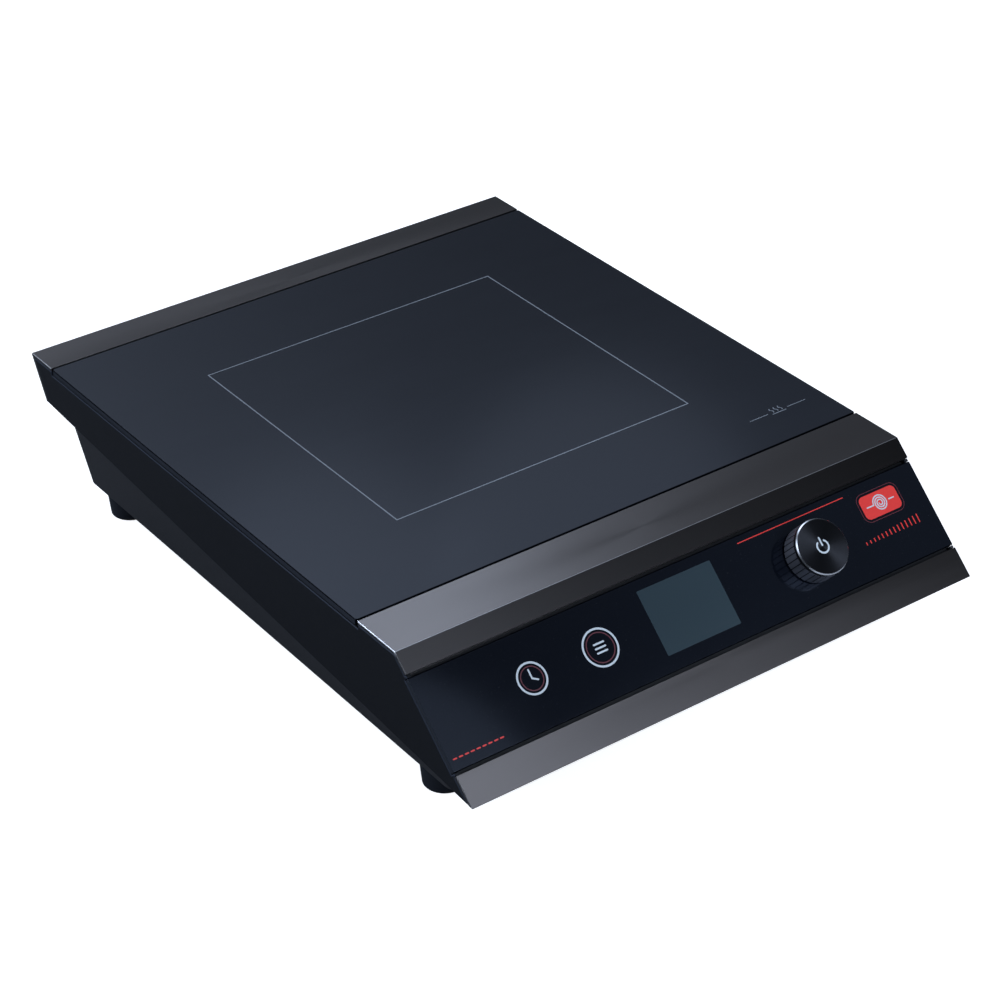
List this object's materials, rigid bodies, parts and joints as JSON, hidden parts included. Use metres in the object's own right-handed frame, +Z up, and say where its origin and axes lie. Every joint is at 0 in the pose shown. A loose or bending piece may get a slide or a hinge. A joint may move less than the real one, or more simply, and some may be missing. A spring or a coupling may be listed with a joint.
{
  "type": "induction hob",
  "caption": "Free-standing countertop induction hob: flat black glass top, sloped black glass control panel with a turning and pressing knob, tapered tub on rubber feet.",
  "frame": {"origin": "on the bench, under the middle of the hob's outline seen from above", "axes": "+X to the user's right, +Y to the back of the hob, +Z up; the user stands at -Y and the control panel slopes down towards them"},
  "size_m": [0.35, 0.4595, 0.1],
  "materials": {
    "trim_aluminium": "black anodised, fine satin",
    "panel_aluminium": "black anodised sheet, satin",
    "tub_sheet": "dark grey powder coat, fine texture",
    "black_glass": "black ceramic glass, polished",
    "foot_rubber": "moulded, matt",
    "seal_rubber": "matt",
    "knob_aluminium": "black anodised, turned, bright bevel",
    "zinc_steel": "bright zinc plated",
    "black_steel": "black oxide",
    "spring_steel": "bright drawn wire",
    "sheet_aluminium": "mill finish",
    "brass_metal": "bare",
    "tinned_brass": "nickel plated",
    "winding_copper": "enamelled litz copper",
    "black_plastic": "moulded",
    "grey_plastic": "moulded",
    "heat_plastic": "heat resistant, off-white",
    "display_grey": "grey display face",
    "board_green": "glass fibre board, solder mask",
    "cable_white": "flat cable",
    "ferrite_grey": "sintered ferrite, matt",
    "mica_grey": "mica sheet",
    "sensor_white": "insulated sensor and lead",
    "holder_silicone": "red-brown silicone",
    "component_black": "moulded package",
    "capacitor_yellow": "moulded case",
    "choke_copper": "wound ring",
    "transformer_yellow": "taped winding",
    "lead_sleeve": "insulated lead"
  },
  "bodies": {
    "housing": {"base_tub": "tub_sheet", "rubber_feet": "foot_rubber", "foot_screws": "zinc_steel", "foot_nuts": "zinc_steel", "floor_screws": "zinc_steel", "case_screws": "black_steel", "left_side_panel": "panel_aluminium", "right_side_panel": "panel_aluminium", "corner_brackets": "sheet_aluminium", "small_screws": "zinc_steel", "rear_trim": "trim_aluminium", "front_upper_trim": "trim_aluminium", "front_lower_trim": "trim_aluminium", "top_glass": "black_glass", "top_glass_seal": "seal_rubber", "control_glass": "black_glass", "control_glass_seal": "seal_rubber", "encoder_body": "black_plastic", "encoder_dome": "spring_steel", "encoder_nut": "brass_metal", "display_module": "display_grey", "display_gasket": "seal_rubber", "touch_springs": "spring_steel", "buzzer": "black_plastic", "control_board": "board_green", "control_carrier": "grey_plastic", "control_board_screws": "zinc_steel", "control_cable": "cable_white", "board_connectors": "grey_plastic", "coil_winding": "winding_copper", "coil_carrier": "heat_plastic", "ferrite_bars": "ferrite_grey", "mica_sheet": "mica_grey", "coil_springs": "spring_steel", "coil_tray": "sheet_aluminium", "coil_pillars": "brass_metal", "coil_tray_screws": "zinc_steel", "coil_leads": "lead_sleeve", "thermistor_holder": "holder_silicone", "thermistor": "sensor_white", "power_board": "board_green", "board_standoffs": "tinned_brass", "heat_sink": "sheet_aluminium", "power_transistors": "component_black", "bridge_rectifier": "component_black", "film_capacitors": "capacitor_yellow", "filter_choke": "choke_copper", "standby_transformer": "transformer_yellow", "mains_inlet": "black_plastic", "inlet_blades": "brass_metal", "mains_leads": "lead_sleeve", "fan_frame": "black_plastic", "fan_stator": "choke_copper", "fan_screws": "zinc_steel", "air_duct": "grey_plastic"},
    "knob_carriage": {"encoder_plunger": "black_plastic"},
    "knob": {"encoder_shaft": "tinned_brass", "knob_hub": "black_plastic", "knob_shell": "knob_aluminium"},
    "fan_rotor": {"fan_rotor": "black_plastic"}
  },
  "joints": [
    {"name": "knob_push", "type": "slide", "parent": "housing", "child": "knob_carriage", "axis": [0, 0.6769, -0.7361], "range_m": [0, 0.0008], "stiffness_N_per_m": 3000},
    {"name": "knob_spin", "type": "hinge", "parent": "knob_carriage", "child": "knob", "pos_m": [0.0833, -0.19423, 0.07198], "axis": [0, -0.6769, 0.7361], "continuous": true},
    {"name": "fan_spin", "type": "hinge", "parent": "housing", "child": "fan_rotor", "pos_m": [-0.058, -0.08, 0.03], "axis": [0, 0, 1], "continuous": true}
  ]
}
